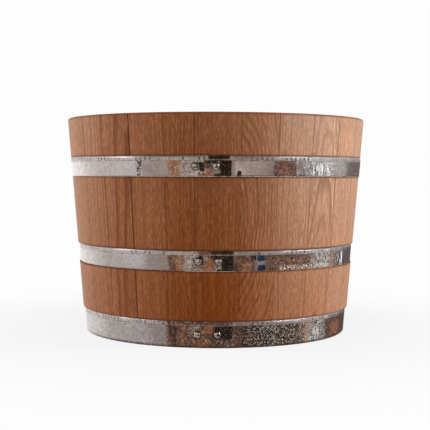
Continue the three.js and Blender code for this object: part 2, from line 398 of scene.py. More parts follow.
def srgb(*levels):
    """A colour as it shows on screen, 0 to 255, as Blender's linear colour"""
    shares = [level / 255 for level in levels]
    linear = [
        share / 12.92 if share <= 0.04045 else ((share + 0.055) / 1.055) ** 2.4
        for share in shares
    ]
    return (*linear, 1.0)


# ---------------------------------------------------------------- shared shader groups


def make_oak_figure():
    """Growth rings round a pith, long pores and slow clouds, from a board's own coordinates.

    Grain is (across, depth, along) in metres. Pith is how far the pith lies across and behind
    the face, and how much the trunk leans along the board.
    """
    inputs = {"Grain": "Vector", "Pith": "Vector", "Seed": 0.0, "Ring Width": 0.004, "Boldness": 0.55}
    outputs = ("Rings", "Pores", "Streaks", "Fibre", "Cloud")
    t, given = new_group("oak_figure", inputs, "Float", *outputs)
    place = given["Grain"] + given["Seed"] * (17.3, 9.1, 5.7)

    # The trunk isn't straight: the rings wander a few millimetres along the board, and waver.
    wander = t.shake(place * (6, 6, 3.2)) * 0.03
    waver = t.shake(place * (34, 34, 17)) * 0.006
    aside = t.split(wander + waver)
    across, depth, along = t.split(given["Grain"])
    pith_across, pith_behind, pith_lean = t.split(given["Pith"])
    sideways = across - pith_across + aside[0]
    behind = depth + pith_behind + (along * pith_lean + aside[1])
    distance = t.length(t.join(sideways, behind))
    ripple = (t.noise(place * (90, 90, 7), detail=2) - 0.5) * 0.9
    phase = distance / given["Ring Width"] + ripple
    saw = t.math("FRACT", phase)
    year = t.math("FLOOR", phase)
    strength = t.add("TexWhiteNoise", {"W": year}, noise_dimensions="1D")
    late = t.range(saw, 0.4, 0.9) * given["Boldness"]
    rings = late * t.range(strength, 0, 1, 0.2, 1)

    # Open pores are short dark dashes, most of them in the early wood of each ring.
    dashes = t.noise(place * (800, 800, 120), 1, 2, 0.6)
    pores = t.range(dashes, 0.5, 0.6) * t.range(saw, 0.15, 0.75, 1, 0.4)
    streaks = t.range(t.noise(place * (560, 560, 75), 1, 2, 0.55), 0.42, 0.58)
    fibre = t.noise(place * (300, 300, 7), 1, 3, 0.6)
    cloud = t.noise(place * (22, 22, 3), detail=2)
    return t.finish(rings, pores, streaks, fibre, cloud)


def make_spangle():
    """Crystals of a zinc coat: each is tilted its own way, so it shines at its own moment."""
    outputs = ("Crystal", "Grit", "Scuff", "Oxide", "Height")
    t, given = new_group("zinc_spangle", {"Vector": "Vector", "Crystal Size": 0.006}, "Float", *outputs)
    vector = given["Vector"]
    place = vector + t.shake(vector, 160, 3) * 0.005
    count = t.math("DIVIDE", 1, given["Crystal Size"])
    cells = t.add_all("TexVoronoi", {"Vector": place, "Scale": count})
    facet = t.dot(place - cells["Position"], cells["Color"] - 0.5)
    grit = t.noise(vector, 480, 3, 0.6)
    scuff = t.noise(vector * (60, 60, 900))
    oxide = t.noise(vector, 24, 5, 0.62)
    return t.finish(t.split(cells["Color"])[0], grit, scuff, oxide, facet + grit * 0.0006)


# What gloss mirrors low down round the studio, as azimuth in degrees and colour: pale on the
# left, the dim room behind the camera in front with a dark post just right of its middle, paler
# again on the right, and a dark flag behind that.
STUDIO_PANORAMA = [
    (-180, 1.15, 1.12, 1.10), (-132, 1.10, 1.06, 1.04), (-110, 0.80, 0.74, 0.70),
    (-93, 0.69, 0.64, 0.60), (-77, 0.75, 0.70, 0.68), (-64, 0.73, 0.69, 0.69),
    (-58, 0.47, 0.39, 0.38), (-42, 0.43, 0.35, 0.32), (-34, 0.50, 0.41, 0.36),
    (-24, 0.62, 0.51, 0.43), (-10, 0.54, 0.43, 0.35), (-2, 0.46, 0.35, 0.28),
    (0, 0.05, 0.035, 0.03), (10, 0.04, 0.03, 0.025), (12, 0.78, 0.66, 0.57),
    (26, 0.56, 0.44, 0.39), (40, 0.46, 0.37, 0.32), (43, 0.33, 0.25, 0.22),
    (64, 0.36, 0.30, 0.29), (76, 0.52, 0.49, 0.48), (108, 0.56, 0.51, 0.48),
    (122, 0.60, 0.53, 0.49), (127, 0.23, 0.18, 0.17), (166, 0.18, 0.14, 0.13),
    (180, 1.15, 1.12, 1.10),
]

# The same at eye level, where the walls are paler on both sides than behind the camera
STUDIO_WALLS = [
    (-180, 0.90, 0.87, 0.86), (-66, 0.68, 0.63, 0.62), (-50, 0.46, 0.40, 0.38),
    (-28, 0.62, 0.51, 0.46), (-12, 0.80, 0.67, 0.60), (0, 0.24, 0.18, 0.15),
    (24, 0.36, 0.28, 0.24), (60, 0.42, 0.37, 0.35), (80, 0.86, 0.86, 0.89),
    (112, 0.90, 0.87, 0.90), (140, 0.42, 0.41, 0.44), (180, 0.90, 0.87, 0.86),
]

# How much of it is left near the ground, where the dark mat round the tub takes over
STUDIO_LOW_SHARE = [
    (-180, 0.80), (-100, 0.74), (-76, 0.62), (-60, 0.74), (-36, 0.68), (-22, 0.50), (0, 0.35),
    (14, 0.14), (30, 0.14), (44, 0.50), (60, 0.60), (80, 0.44), (110, 0.30), (180, 0.60),
]
STUDIO_CEILING = (0.09, 0.08, 0.08, 1.0)
STUDIO_GROUND = (0.50, 0.48, 0.46, 1.0)

# The narrow soft box on the right: its azimuth in degrees, the strut in front of it, its glow
KEY_LEFT = 78
KEY_RIGHT = 101
KEY_STRUT = 89
KEY_GLOW = 0.22

# Two small bare lamps high up, which only curved and tilted metal catches: azimuth in degrees,
# rise, half width in degrees and strength
STUDIO_LAMPS = [(66, 0.32, 3.4, 24.0), (-80, 0.34, 5, 7.0)]


def make_studio():
    """The studio round the tub, by direction: what stands in it low down, walls above that, a dim
    ceiling with two lamps, and the pale floor right under the tub"""
    t, given = new_group("studio_panorama", {"Direction": "Vector"}, "Color", "Color")
    x, y, rise = t.split(given["Direction"])
    azimuth = t.math("ARCTAN2", x, -y)
    degrees = azimuth * (180 / math.pi)
    turn = degrees / 360 + 0.5

    def round_the_room(stops):
        return t.ramp(turn, [((place + 180) / 360, (*colour, 1)) for place, *colour in stops])

    around = round_the_room(STUDIO_PANORAMA)
    shares = round_the_room([(place, share, share, share) for place, share in STUDIO_LOW_SHARE])

    # A leaning wall mirrors a lower band in front than at its sides, so levels follow a cosine.
    level = t.math("COSINE", azimuth * 0.5) * (2 * math.sin(WALL_ANGLE)) + rise
    nearer = t.math("MULTIPLY_ADD", level, 6.5, 1, clamp=True)
    low = t.mix(nearer, t.mix(1, around, shares, "MULTIPLY"), around)
    walled = t.mix(t.range(level, 0.03, 0.07), low, round_the_room(STUDIO_WALLS))
    roofed = t.mix(t.range(rise, 0.3, 0.6), walled, STUDIO_CEILING)
    ground = t.mix(t.fall(rise, -0.8, -0.6), roofed, STUDIO_GROUND)

    left = t.range(degrees, KEY_LEFT - 2, KEY_LEFT + 1)
    right = t.fall(degrees, KEY_RIGHT - 1, KEY_RIGHT + 3)
    beside = t.range(abs(degrees - KEY_STRUT), 0.6, 1.4)
    upright = t.range(rise, -0.27, -0.17) * t.fall(rise, 0.3, 0.5)
    glow = left * right * beside * upright * KEY_GLOW
    for lamp_azimuth, lamp_rise, half_width, strength in STUDIO_LAMPS:
        towards = on_tub(math.sqrt(1 - lamp_rise**2), math.radians(lamp_azimuth), lamp_rise)
        near = t.dot(given["Direction"], tuple(towards))
        edge = math.cos(math.radians(half_width))
        glow = glow + t.range(near, edge - 0.001, edge + 0.001, 0, strength)
    return t.finish(ground + glow)


OAK_FIGURE = make_oak_figure()
ZINC_SPANGLE = make_spangle()
STUDIO = make_studio()

# ---------------------------------------------------------------- materials

RAW_ROUGHNESS = 0.72
BOARD_RING_WIDTH = 3.8 * MM
CRYSTAL_SIZE = 3.6 * MM

# The rolls that thin a hoop's band leave one dent in it every so far.
ROLL_PITCH = 9.5 * MM

# How much of a mark the thinned band doesn't take
BAND_REFUSAL = 0.6


def new_material(name):
    return clear_tree(bpy.data.materials.new(name))


def surfaced(t, looks):
    return t.show("Material", t.add("BsdfPrincipled", looks))


def oak_colour(t, figure, light, middle, dark, tone, pale=0):
    """Board colour from its figure. tone lightens or darkens the whole board, and pale washes it
    out to a paler, less saturated colour, while a negative pale darkens and deepens it. On the
    staves pale is painted sheen and painted shade."""
    colour = t.mix(t.range(figure["Fibre"], 0.4, 0.6), middle, light)
    colour = t.mix(t.range(figure["Cloud"], 0.35, 0.7) * 0.5, colour, middle)
    for feature, share in (("Streaks", 0.52), ("Rings", 0.9), ("Pores", 0.55)):
        colour = t.mix(figure[feature] * share, colour, dark)
    inputs = {
        "Hue": pale * 0.012 + 0.5,
        "Saturation": pale * -0.26 + 1,
        "Value": tone * (pale * 0.38 + 1),
        "Color": colour,
    }
    return t.add("HueSaturation", inputs)


def make_stave_oak():
    """Oiled oak outside with painted sheen and shade, raw oak inside, darker end grain on the
    rim, dirt in the joints and painted shade along the hoops' edges
    """
    t = new_material("stave_oak")
    grain = t.attribute("grain")
    pith = t.attribute("pith")
    seed, tone, ring_width = t.split(t.attribute("board"))
    # pale is painted sheen: it washes the oiled oak out where light falls, and paints shade where it is
    # below zero.
    to_joint, joint_dirt, pale = t.split(t.attribute("seam"))
    depth, height = t.split(grain)[1:]
    # Flat-sawn staves, with the pith close behind their face, show their rings boldly.
    bold = t.range(abs(t.split(pith)[0]), 0.05, 0.1, 1, 0.55)
    inputs = {"Grain": grain, "Pith": pith, "Seed": seed, "Ring Width": ring_width, "Boldness": bold}
    figure = t.group(OAK_FIGURE, inputs)
    oiled = oak_colour(t, figure, srgb(184, 114, 66), srgb(158, 91, 47), srgb(124, 56, 5), tone, pale)
    raw = oak_colour(t, figure, srgb(184, 148, 110), srgb(162, 124, 88), srgb(104, 72, 44), tone)
    inside = t.range(depth, 0.016, 0.021)
    outside = 1 - inside
    walls = t.mix(inside, oiled, raw)

    # End grain soaks up more oil, so the flat ends of the staves are darker.
    normal = t.split(t.add("NewGeometry", None, "Normal"))
    end = t.range(abs(normal[2]), 0.5, 0.9)
    soaked = t.mix(1, walls, srgb(190, 160, 138), "MULTIPLY")
    frayed = figure["Fibre"] * 0.006 + height
    lip = t.range(frayed, TUB_HEIGHT - 0.002, TUB_HEIGHT + 0.001, 0, 0.75)
    ended = t.mix(end, t.mix(lip * outside, walls, srgb(118, 58, 20)), soaked)

    # Dirt lies in the joints, and a hoop shades the wood along its edges.
    shadow = 0
    for hoop in HOOPS:
        for edge in (hoop.low, hoop.high):
            shadow = t.larger(shadow, t.range(abs(height - edge), 0.001, 0.004, 0.6, 0))
    shaded = t.mix(shadow * outside, ended, srgb(104, 44, 8))
    dirt = t.fall(to_joint, 0.0004, 0.0018) * joint_dirt

    dull = t.range(figure["Fibre"], 0.2, 0.8, 0.38, 0.5) + figure["Pores"] * 0.2
    relief = figure["Fibre"] - figure["Pores"] * 0.8 - figure["Rings"] * 0.3
    looks = {
        "Base Color": t.mix(dirt, shaded, srgb(74, 34, 12)),
        "Specular IOR Level": 0.26,
        "Roughness": t.blend(t.larger(inside, end), dull, RAW_ROUGHNESS),
        "Normal": t.bump(relief, 0.0003, 0.7),
    }
    return surfaced(t, looks)


def make_board_oak(name, seed, pith, tone):
    """A floor board: raw oak, its grain along Y"""
    t = new_material(name)
    x, y, z = t.split(t.add("TexCoord", None, "Object"))
    inputs = {"Grain": t.join(x, z, y), "Pith": pith, "Seed": seed, "Ring Width": BOARD_RING_WIDTH}
    figure = t.group(OAK_FIGURE, inputs)
    colours = (srgb(186, 150, 112), srgb(164, 126, 90), srgb(108, 76, 48))
    looks = {
        "Base Color": oak_colour(t, figure, *colours, tone),
        "Roughness": 0.7,
        "Normal": t.bump(figure["Fibre"] - figure["Pores"], 0.0003, 0.6),
    }
    return surfaced(t, looks)


def stained_zinc(t, clean, place, ragged, marks, grit):
    """The zinc's colour with blue patches, brown mottle, rusty orange and sooty dark patches, and
    how much of the last three there is. On the front these patches are partly stains and partly
    painted reflection and shade: the orange and brown ones mirror the oak, the dark ones the dim
    room and the shade beside a rivet. A mark's strength eats into a noise, so its edge is ragged
    like a real stain's."""
    bite = ragged * 0.9 + 0.05
    rust_and_reflection_mark, soot_shade_and_reflection_mark, blue_mark, brown_mark = (mark + bite for mark in marks)
    fine = t.noise(place, 300, 4, 0.7)
    bare = t.range(fine, 0.52, 0.62, 0.92, 0.25)
    # On the front the brown, orange and dark patches are partly painted reflection and shade.
    blue_share = t.range(blue_mark, 0.88, 1.08)
    mottle = t.range(brown_mark, 0.8, 1.16) * bare
    rust_and_reflection = t.range(rust_and_reflection_mark, 0.78, 1.16) * bare
    soot_shade_and_reflection = t.range(soot_shade_and_reflection_mark, 0.9, 1.08)
    blue = t.mix(t.range(fine, 0.4, 0.52), srgb(22, 34, 74), srgb(74, 108, 160))
    brown = t.mix(t.range(fine, 0.38, 0.52), srgb(64, 35, 22), srgb(140, 92, 64))
    orange = t.mix(t.range(fine, 0.38, 0.58), srgb(136, 64, 16), srgb(200, 134, 80))
    speckle = t.mix(t.range(grit, 0.48, 0.66), srgb(44, 38, 32), srgb(140, 130, 116))
    colour = clean
    for share, stain in ((blue_share, blue), (mottle, brown), (rust_and_reflection, orange), (soot_shade_and_reflection, speckle)):
        colour = t.mix(share, colour, stain)
    return colour, mottle, rust_and_reflection, soot_shade_and_reflection


def bloomed_zinc(t, stained, along, height, streaky, fleck_mark):
    """The zinc's colour with white, and how much of it there is: partly white zinc salts, partly
    painted glints and painted reflection of the lamps. It lies in upright runs where the streak
    marks are, with painted dark reflected runs between them, and in short slanting flecks."""
    runs = t.noise(t.join(along * 260, height * 36), detail=2)
    flecks = t.noise(t.join((along - height) * 150, (along + height) * 420), 1, 2, 0.6)
    white_flecks_and_glints = t.range(fleck_mark * 0.46 + flecks, 0.95, 1.02)
    bloom_and_glints = t.larger(t.range(runs, 0.53, 0.57) * streaky, white_flecks_and_glints)
    # The dark runs between the white ones are a painted reflection.
    painted_dark_runs = t.mix(t.fall(runs, 0.42, 0.46) * streaky, stained, srgb(44, 50, 72))
    chalk = t.mix(streaky, srgb(228, 218, 202), srgb(236, 237, 240))
    return t.mix(bloom_and_glints, painted_dark_runs, chalk), bloom_and_glints


def make_galvanised():
    """Zinc-coated strip with rusty, sooty and blue patches and white runs and flecks where its marks
    say so; these are partly stains and partly painted reflection, shade and glints, and the edges
    carry a painted highlight
    """
    t = new_material("galvanised_hoop")
    place = t.add("TexCoord", None, "Object")
    along, height, up_band = t.split(t.attribute("strip"))
    brown_mark, streak_mark, fleck_mark = t.split(t.attribute("wear"))
    band = t.range(up_band, -0.04, 0.02)
    zinc = t.group(ZINC_SPANGLE, {"Vector": place, "Crystal Size": CRYSTAL_SIZE})
    bright = t.mix(zinc["Crystal"], srgb(206, 202, 201), srgb(228, 225, 224))
    scuffed = t.mix(zinc["Scuff"] * 0.3, bright, srgb(166, 160, 157))
    clean = t.mix(t.range(zinc["Oxide"], 0.5, 0.62) * 0.2, scuffed, srgb(150, 142, 136))
    taken = band * -BAND_REFUSAL + 1
    marks = [mark * taken for mark in (*t.split(t.attribute("marks")), brown_mark)]
    ragged = t.noise(place, 150, 5, 0.75)
    stained, mottle, rust_and_reflection, soot_shade_and_reflection = stained_zinc(t, clean, place, ragged, marks, zinc["Grit"])
    streaky = t.range(streak_mark, 0.2, 0.8)
    bloom_and_glint_colour, bloom_and_glints = bloomed_zinc(t, stained, along, height, streaky, fleck_mark)

    # The dents of the thinned band and the step below it are painted darker.
    dashes = t.math("SINE", along * (2 * math.pi / ROLL_PITCH))
    uneven = t.range(t.noise(place, 46), 0.46, 0.58)
    row = t.range(up_band, 0.1, 0.25) * t.fall(up_band, 0.6, 0.75)
    dents = t.range(dashes, 0.2, 0.8) * uneven * row
    step = t.fall(abs(up_band + 0.03), 0.03, 0.13) * t.range(ragged, 0.42, 0.6, 0.1, 0.75)
    darker_in_dents_and_step = t.mix(t.larger(dents * 0.8, step), bloom_and_glint_colour, srgb(74, 64, 58))

    # The edges are worn bright and carry a painted highlight, but for the one on the ground, which is
    # painted darker in its lowest few millimetres. Dirt and painted shade lie round each rivet.
    above_ground = t.split(place)[2]
    lower_edge = t.fall(height, 0.0005, 0.002) * t.range(above_ground, 0.01, 0.02)
    upper_edge = t.range(up_band, 0.86, 0.97, 0, 0.5)
    patchy = t.range(ragged, 0.38, 0.56, 0.35, 1)
    rubbed_and_highlit = t.larger(lower_edge, upper_edge) * patchy
    edged = t.mix(rubbed_and_highlit * 0.8, darker_in_dents_and_step, srgb(236, 230, 224))
    ring = t.fall(t.attribute("near_rivet", "Fac"), HEAD_RADIUS, HEAD_RADIUS + 0.003)
    darker_at_ground = t.range(above_ground, 0.0025, 0.0065, 0.9, 0)
    grime = t.larger(ring, darker_at_ground) * patchy

    matt = mottle * 0.3 + rust_and_reflection * 0.6 + grime * 0.5
    bloom_glints_and_highlights = t.larger(bloom_and_glints, rubbed_and_highlit * 0.6)
    smooth = t.range(zinc["Oxide"], 0.35, 0.65, 0.09, 0.17)
    rough = t.blend(t.larger(soot_shade_and_reflection, band), smooth, 0.32)
    rib_height = t.range(streak_mark, 0, 0.6, 0.00014, 0.0006)
    ribs = t.noise(t.join(along * 340, height * 34)) * rib_height
    crystalled = t.range(t.attribute("crystalled", "Fac"), 0, 1, 0.07, 1)
    relief = zinc["Height"] * crystalled - dents * 0.0008 + ribs
    not_matt = t.math("SUBTRACT", 1, matt, clamp=True)
    looks = {
        "Base Color": t.mix(grime, edged, srgb(44, 35, 29)),
        "Metallic": t.math("SUBTRACT", not_matt, bloom_glints_and_highlights, clamp=True),
        "Roughness": rough + matt * 0.3,
        "Normal": t.bump(relief, 0.24, 1),
    }
    return surfaced(t, looks)


def make_rivet_steel():
    """Hammered, dark in the hollows and bright on the flats, and darker towards the edge of the head
    with dirt and painted shade
    """
    t = new_material("rivet_steel")
    place = t.add("TexCoord", None, "Object")
    # Dirt and painted shade darken the head towards its edge.
    grime = t.range(t.attribute("grime", "Fac"), 0.82, 0.97)
    worn = t.range(t.noise(place, 240, 4, 0.6), 0.36, 0.52)
    steel = t.mix(worn, srgb(84, 76, 70), srgb(224, 216, 208))
    looks = {
        "Base Color": t.mix(grime, steel, srgb(40, 32, 27)),
        "Metallic": 1,
        "Roughness": t.blend(worn, 0.26, 0.12),
        "Normal": t.bump(t.noise(place, 300), 0.0004, 0.7),
    }
    return surfaced(t, looks)


STAVE_OAK = make_stave_oak()
GALVANISED = make_galvanised()
RIVET_STEEL = make_rivet_steel()

# ---------------------------------------------------------------- Geometry Nodes


def outline_curve(name, points, arm):
    """A closed outline of (radius, height) points, ready to be carried round at an arm's length"""
    curve = bpy.data.curves.new(name, "CURVE")
    curve.dimensions = "3D"
    spline = curve.splines.new("POLY")
    spline.points.add(len(points) - 1)
    for point, (radius, height) in zip(spline.points, points):
        point.co = (radius - arm, -height, 0, 1)
    spline.use_cyclic_u = True
    return add_object(name, curve)


def grow(name, tree, values, bevel=0):
    """Runs a Geometry Nodes tree, and returns what it makes as a plain mesh object."""
    carrier = add_object(name + "_carrier", bpy.data.meshes.new(name + "_carrier"))
    modifier = carrier.modifiers.new("shape", "NODES")
    modifier.node_group = tree
    for item in tree.interface.items_tree:
        if item.in_out == "INPUT" and item.name in values:
            modifier[item.identifier] = values[item.name]
    if bevel:
        edges = carrier.modifiers.new("edges", "BEVEL")
        edges.width = bevel
        edges.segments = 2
        edges.limit_method = "ANGLE"
        edges.angle_limit = math.radians(40)
        edges.harden_normals = True
    bpy.context.view_layer.update()
    evaluated = carrier.evaluated_get(bpy.context.evaluated_depsgraph_get())
    mesh = bpy.data.meshes.new_from_object(evaluated)
    mesh.name = name
    bpy.data.objects.remove(carrier)
    return add_object(name, mesh)


def finish_piece(piece, slot, *nodes):
    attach(piece, "root")
    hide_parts(*nodes)


def make_stave_tree():
    """Carries the stave's outline along its arc, then lifts and tilts its outer face a little."""
    inputs = {
        "Outline": "Object",
        "Arm": RIM_RADIUS,
        "Start Angle": 0.0,
        "Sweep Angle": 0.2,
        "Steps": STAVE_STEPS,
        "Lift": 0.0,
        "Tilt": 0.0,
        "Face Depth": STAVE_THICKNESS / 2,
        "Material": "Material",
    }
    t, given = new_group("stave_shape", inputs, "Geometry", "Geometry")
    arc_inputs = {
        "Resolution": given["Steps"],
        "Radius": given["Arm"],
        "Start Angle": given["Start Angle"] - math.pi / 2,
        "Sweep Angle": given["Sweep Angle"],
    }
    swept = t.carry(t.shape("CurveArc", arc_inputs), given["Outline"])
    middle = given["Start Angle"] + given["Sweep Angle"] * 0.5
    sine = t.math("SINE", middle)
    cosine = t.math("COSINE", middle)
    position = t.shape("InputPosition")
    across = t.dot(position, t.join(cosine, sine))
    face = t.split(position)[2] * TAPER + BASE_RADIUS
    depth = face - t.length(position * (1, 1, 0))
    on_face = t.math("LESS_THAN", depth, given["Face Depth"])
    rise = given["Lift"] + across * given["Tilt"]
    offset = t.join(sine, -cosine) * (rise * on_face)
    return t.finish_shape(swept, offset, given["Material"])


def make_hoop_tree():
    """Winds the strip once round the tub, laps and joggles it, and dents it round the rivets."""
    inputs = {
        "Outline": "Object",
        "Rivets": "Object",
        "Arm": RIM_RADIUS,
        "Start Angle": 0.0,
        "Lap Angle": 0.3,
        "Joggle Angle": 0.04,
        "End Angle": 6.5,
        "Lap Offset": LAP_OFFSET,
        "Low Edge": 0.0,
        "Band Low": 0.03,
        "Band Height": BAND_HEIGHT,
        "Dimple Depth": DIMPLE_DEPTH,
        "Dimple Reach": DIMPLE_REACH,
        "Steps": HOOP_STEPS,
        "Material": "Material",
    }
    t, given = new_group("hoop_shape", inputs, "Geometry", "Geometry")
    line = t.shape("CurvePrimitiveLine", {"Start": (0, 0, 0), "End": (1, 0, 0)})
    points = t.shape("ResampleCurve", {"Curve": line, "Count": given["Steps"]})
    turned = t.shape("SplineParameter", None, "Factor") * given["End Angle"]
    joggle_end = given["Lap Angle"] + given["Joggle Angle"]
    raised = t.range(turned, given["Lap Angle"], joggle_end, given["Lap Offset"], 0)
    reach = given["Arm"] + raised
    angle = given["Start Angle"] + turned
    place = t.join(reach * t.math("SINE", angle), reach * -t.math("COSINE", angle))
    path = t.shape("SetPosition", {"Geometry": points, "Position": place})
    measured = t.keep(path, "along", turned * given["Arm"])
    swept = t.carry(measured, given["Outline"])
    position = t.shape("InputPosition")
    along = t.shape("InputNamedAttribute", {"Name": "along"}, data_type="FLOAT")
    height = t.split(position)[2] - given["Low Edge"]
    up_band = (height - given["Band Low"]) / given["Band Height"]
    strip = t.keep(swept, "strip", t.join(along, height, up_band))

    # Dents: pressed in round each rivet, hammered over the lap, gently wavy elsewhere.
    rivets = {0: t.geometry_of(given["Rivets"])}
    near = t.shape("Proximity", rivets, "Distance", target_element="POINTS")
    marked = t.keep(strip, "near_rivet", near)
    falloff = near / given["Dimple Reach"]
    pressed = t.math("EXPONENT", -(falloff * falloff)) * -given["Dimple Depth"]
    on_lap = t.range(along, joggle_end * given["Arm"], 0)
    beaten = (t.noise(position, 75, 1) - 0.55) * LAP_BEATING * on_lap
    wave = (t.noise(position, 16, 1) - 0.5) * HOOP_WAVE
    outward = t.vector("NORMALIZE", position * (1, 1, 0))
    return t.finish_shape(marked, outward * (pressed + beaten + wave), given["Material"])


def make_rivet_tree():
    """Puts a rivet on every point, square to the lap, and hammers each head differently."""
    inputs = {
        "Places": "Object",
        "Rivet": "Object",
        "Dent Size": 240.0,
        "Dent Depth": HEAD_DENT,
        "Seed": 4.0,
        "Material": "Material",
    }
    t, given = new_group("rivet_row", inputs, "Geometry", "Geometry")
    outward = t.shape("InputNamedAttribute", {"Name": "outward"}, data_type="FLOAT_VECTOR")
    turn = t.add("AlignRotationToVector", {"Vector": outward}, family="FunctionNode", axis="Z")
    placing = {
        "Points": t.geometry_of(given["Places"]),
        "Instance": t.geometry_of(given["Rivet"]),
        "Rotation": turn,
    }
    placed = t.shape("InstanceOnPoints", placing)
    real = t.shape("RealizeInstances", {"Geometry": placed})
    noise_inputs = {
        "Vector": t.shape("InputPosition"),
        "W": given["Seed"],
        "Scale": given["Dent Size"],
        "Detail": 1,
    }
    noise = t.add("TexNoise", noise_inputs, noise_dimensions="4D")
    dent = (noise - 0.5) * given["Dent Depth"]
    return t.finish_shape(real, t.shape("InputNormal") * dent, given["Material"])


# ---------------------------------------------------------------- staves


def stave_outline():
    """(radius, height) of a stave's section, from the base up the outside and down the inside"""
    points = []
    for hoop in HOOPS:
        low = hoop.low - FIT
        high = hoop.high + FIT
        if hoop.seat_runs_out:
            points.append((hoop.seat_radius(0.0), 0.0))
        else:
            points += [(outer_radius(low), low), (hoop.seat_radius(low), low)]
        points += [(hoop.seat_radius(high), high), (outer_radius(high), high)]
    rim = TUB_HEIGHT - RIM_CHAMFER
    points += [
        (outer_radius(rim), rim),
        (RIM_RADIUS - RIM_CHAMFER, TUB_HEIGHT),
        (inner_radius(TUB_HEIGHT) + RIM_CHAMFER, TUB_HEIGHT),
        (inner_radius(rim), rim),
        (inner_radius(GROOVE_HIGH), GROOVE_HIGH),
        (inner_radius(GROOVE_HIGH) + GROOVE_DEPTH, GROOVE_HIGH),
        (inner_radius(GROOVE_LOW) + GROOVE_DEPTH, GROOVE_LOW),
        (inner_radius(GROOVE_LOW), GROOVE_LOW),
        (inner_radius(CHIME_BEVEL), CHIME_BEVEL),
        (inner_radius(0.0) + CHIME_BEVEL, 0.0),
    ]
    return points


def store(mesh, name, values):
    """Writes a number or a vector on each point of a mesh"""
    values = np.asarray(values, dtype=np.float32)
    kind, key = ("FLOAT_VECTOR", "vector") if values.ndim == 2 else ("FLOAT", "value")
    mesh.attributes.new(name, kind, "POINT").data.foreach_set(key, values.ravel())


# A stave's brightness, its painted sheen at the foot and at the rim (a paleness that paints light
# on the oak, and shade below zero), its ring width, and where the pith lies across and behind its
# face and how it leans
Timber = namedtuple("Timber", "tone pale_foot pale_rim ring_width pith")

# The staves that face the front. Their painted sheen is palest on the right and towards the rim,
# less on the left and darkest, as painted shade, in the middle. The timber of the others is drawn
# at random.
FRONT_TIMBER = {
    "stave_25": Timber(0.97, 0.45, 0.75, 4.6 * MM, (0.09, 0.040, 0.01)),
    "stave_26": Timber(0.97, 0.28, 0.68, 4.4 * MM, (0.08, 0.040, 0.01)),
    "stave_01": Timber(0.99, 0.26, 0.72, 5.0 * MM, (0.06, 0.050, 0.02)),
    "stave_02": Timber(0.95, 0.05, 0.32, 17 * MM, (0.045, 0.014, 0.08)),
    "stave_03": Timber(1.05, 0.02, 0.35, 4.4 * MM, (0.09, 0.050, 0.01)),
    "stave_04": Timber(0.98, -0.25, 0.12, 4.2 * MM, (-0.10, 0.040, 0.00)),
    "stave_05": Timber(0.97, -0.50, 0.26, 5.3 * MM, (0.12, 0.040, 0.00)),
    "stave_06": Timber(1.00, 0.02, 0.62, 6.5 * MM, (-0.045, 0.075, -0.30)),
    "stave_07": Timber(1.00, 0.38, 1.20, 5.6 * MM, (-0.11, 0.050, 0.01)),
    "stave_08": Timber(1.00, 0.46, 1.32, 7 * MM, (0.004, 0.020, 0.09)),
    "stave_09": Timber(1.00, 0.86, 1.04, 4.8 * MM, (0.12, 0.050, 0.00)),
    "stave_10": Timber(0.95, 0.90, 1.20, 5.0 * MM, (0.10, 0.050, 0.00)),
    "stave_11": Timber(0.97, 0.75, 1.00, 4.4 * MM, (-0.10, 0.050, 0.01)),
}
TIMBER_SEED = 11

# How much of the step in painted sheen at a joint is smoothed out over the two staves
SHEEN_BLEND = 0.8

# How dark the joint on the left of each of the first staves is
FRONT_JOINT_DIRT = [0.2, 0.3, 0.7, 0.1, 0.15, 0.15, 0.1, 0.2, 0.2]


def random_timber(dice):
    tone = dice.uniform(0.92, 1.1)
    ring_width = dice.uniform(2.4, 4.4) * MM
    flat_sawn = dice.random() < 0.4
    aside = dice.uniform(-0.02, 0.02) if flat_sawn else dice.choice((-1, 1)) * dice.uniform(0.06, 0.12)
    pith = (aside, dice.uniform(0.02, 0.06), dice.uniform(-0.06, 0.06))
    # Painted sheen, more of it at the rim than at the foot
    pale = dice.uniform(0.2, 0.6)
    return Timber(tone, pale, pale + 0.3, ring_width, pith)


# The painted sheen a share of the way up a stave, from its foot to its rim
def paleness(timber, share_up):
    return timber.pale_foot + (timber.pale_rim - timber.pale_foot) * share_up


def store_grain(mesh, start, end, seed, timbers, seams):
    """Writes a stave's own coordinates, its timber, the dirt in its two joints and its painted sheen
    on its points.

    timbers holds those of the stave before it, the stave itself and the stave after it.
    """
    before, timber, after = timbers
    count = len(mesh.vertices)
    points = read_vectors(mesh.vertices, "co")
    across, outward = facing(points, (start + end) / 2)
    radius = np.hypot(points[:, 0], points[:, 1])
    depth = outer_radius(points[:, 2]) - radius
    board = (seed, timber.tone, timber.ring_width)
    store(mesh, "grain", np.column_stack((across, depth, points[:, 2])))
    store(mesh, "pith", np.tile(timber.pith, (count, 1)))
    store(mesh, "board", np.tile(board, (count, 1)))
    half = (end - start) / 2
    turned = np.arctan2(across, outward)
    to_joint = (half - np.abs(turned)) * radius
    dirt = np.where(turned < 0, *seams)
    share_up = points[:, 2] / TUB_HEIGHT
    # Painted sheen, eased towards that of the stave beside it near each joint
    pale = paleness(timber, share_up)
    beside = np.where(turned < 0, paleness(before, share_up), paleness(after, share_up))
    pale += (beside - pale) * np.abs(turned) / half * SHEEN_BLEND / 2
    store(mesh, "seam", np.column_stack((to_joint, dirt, pale)))


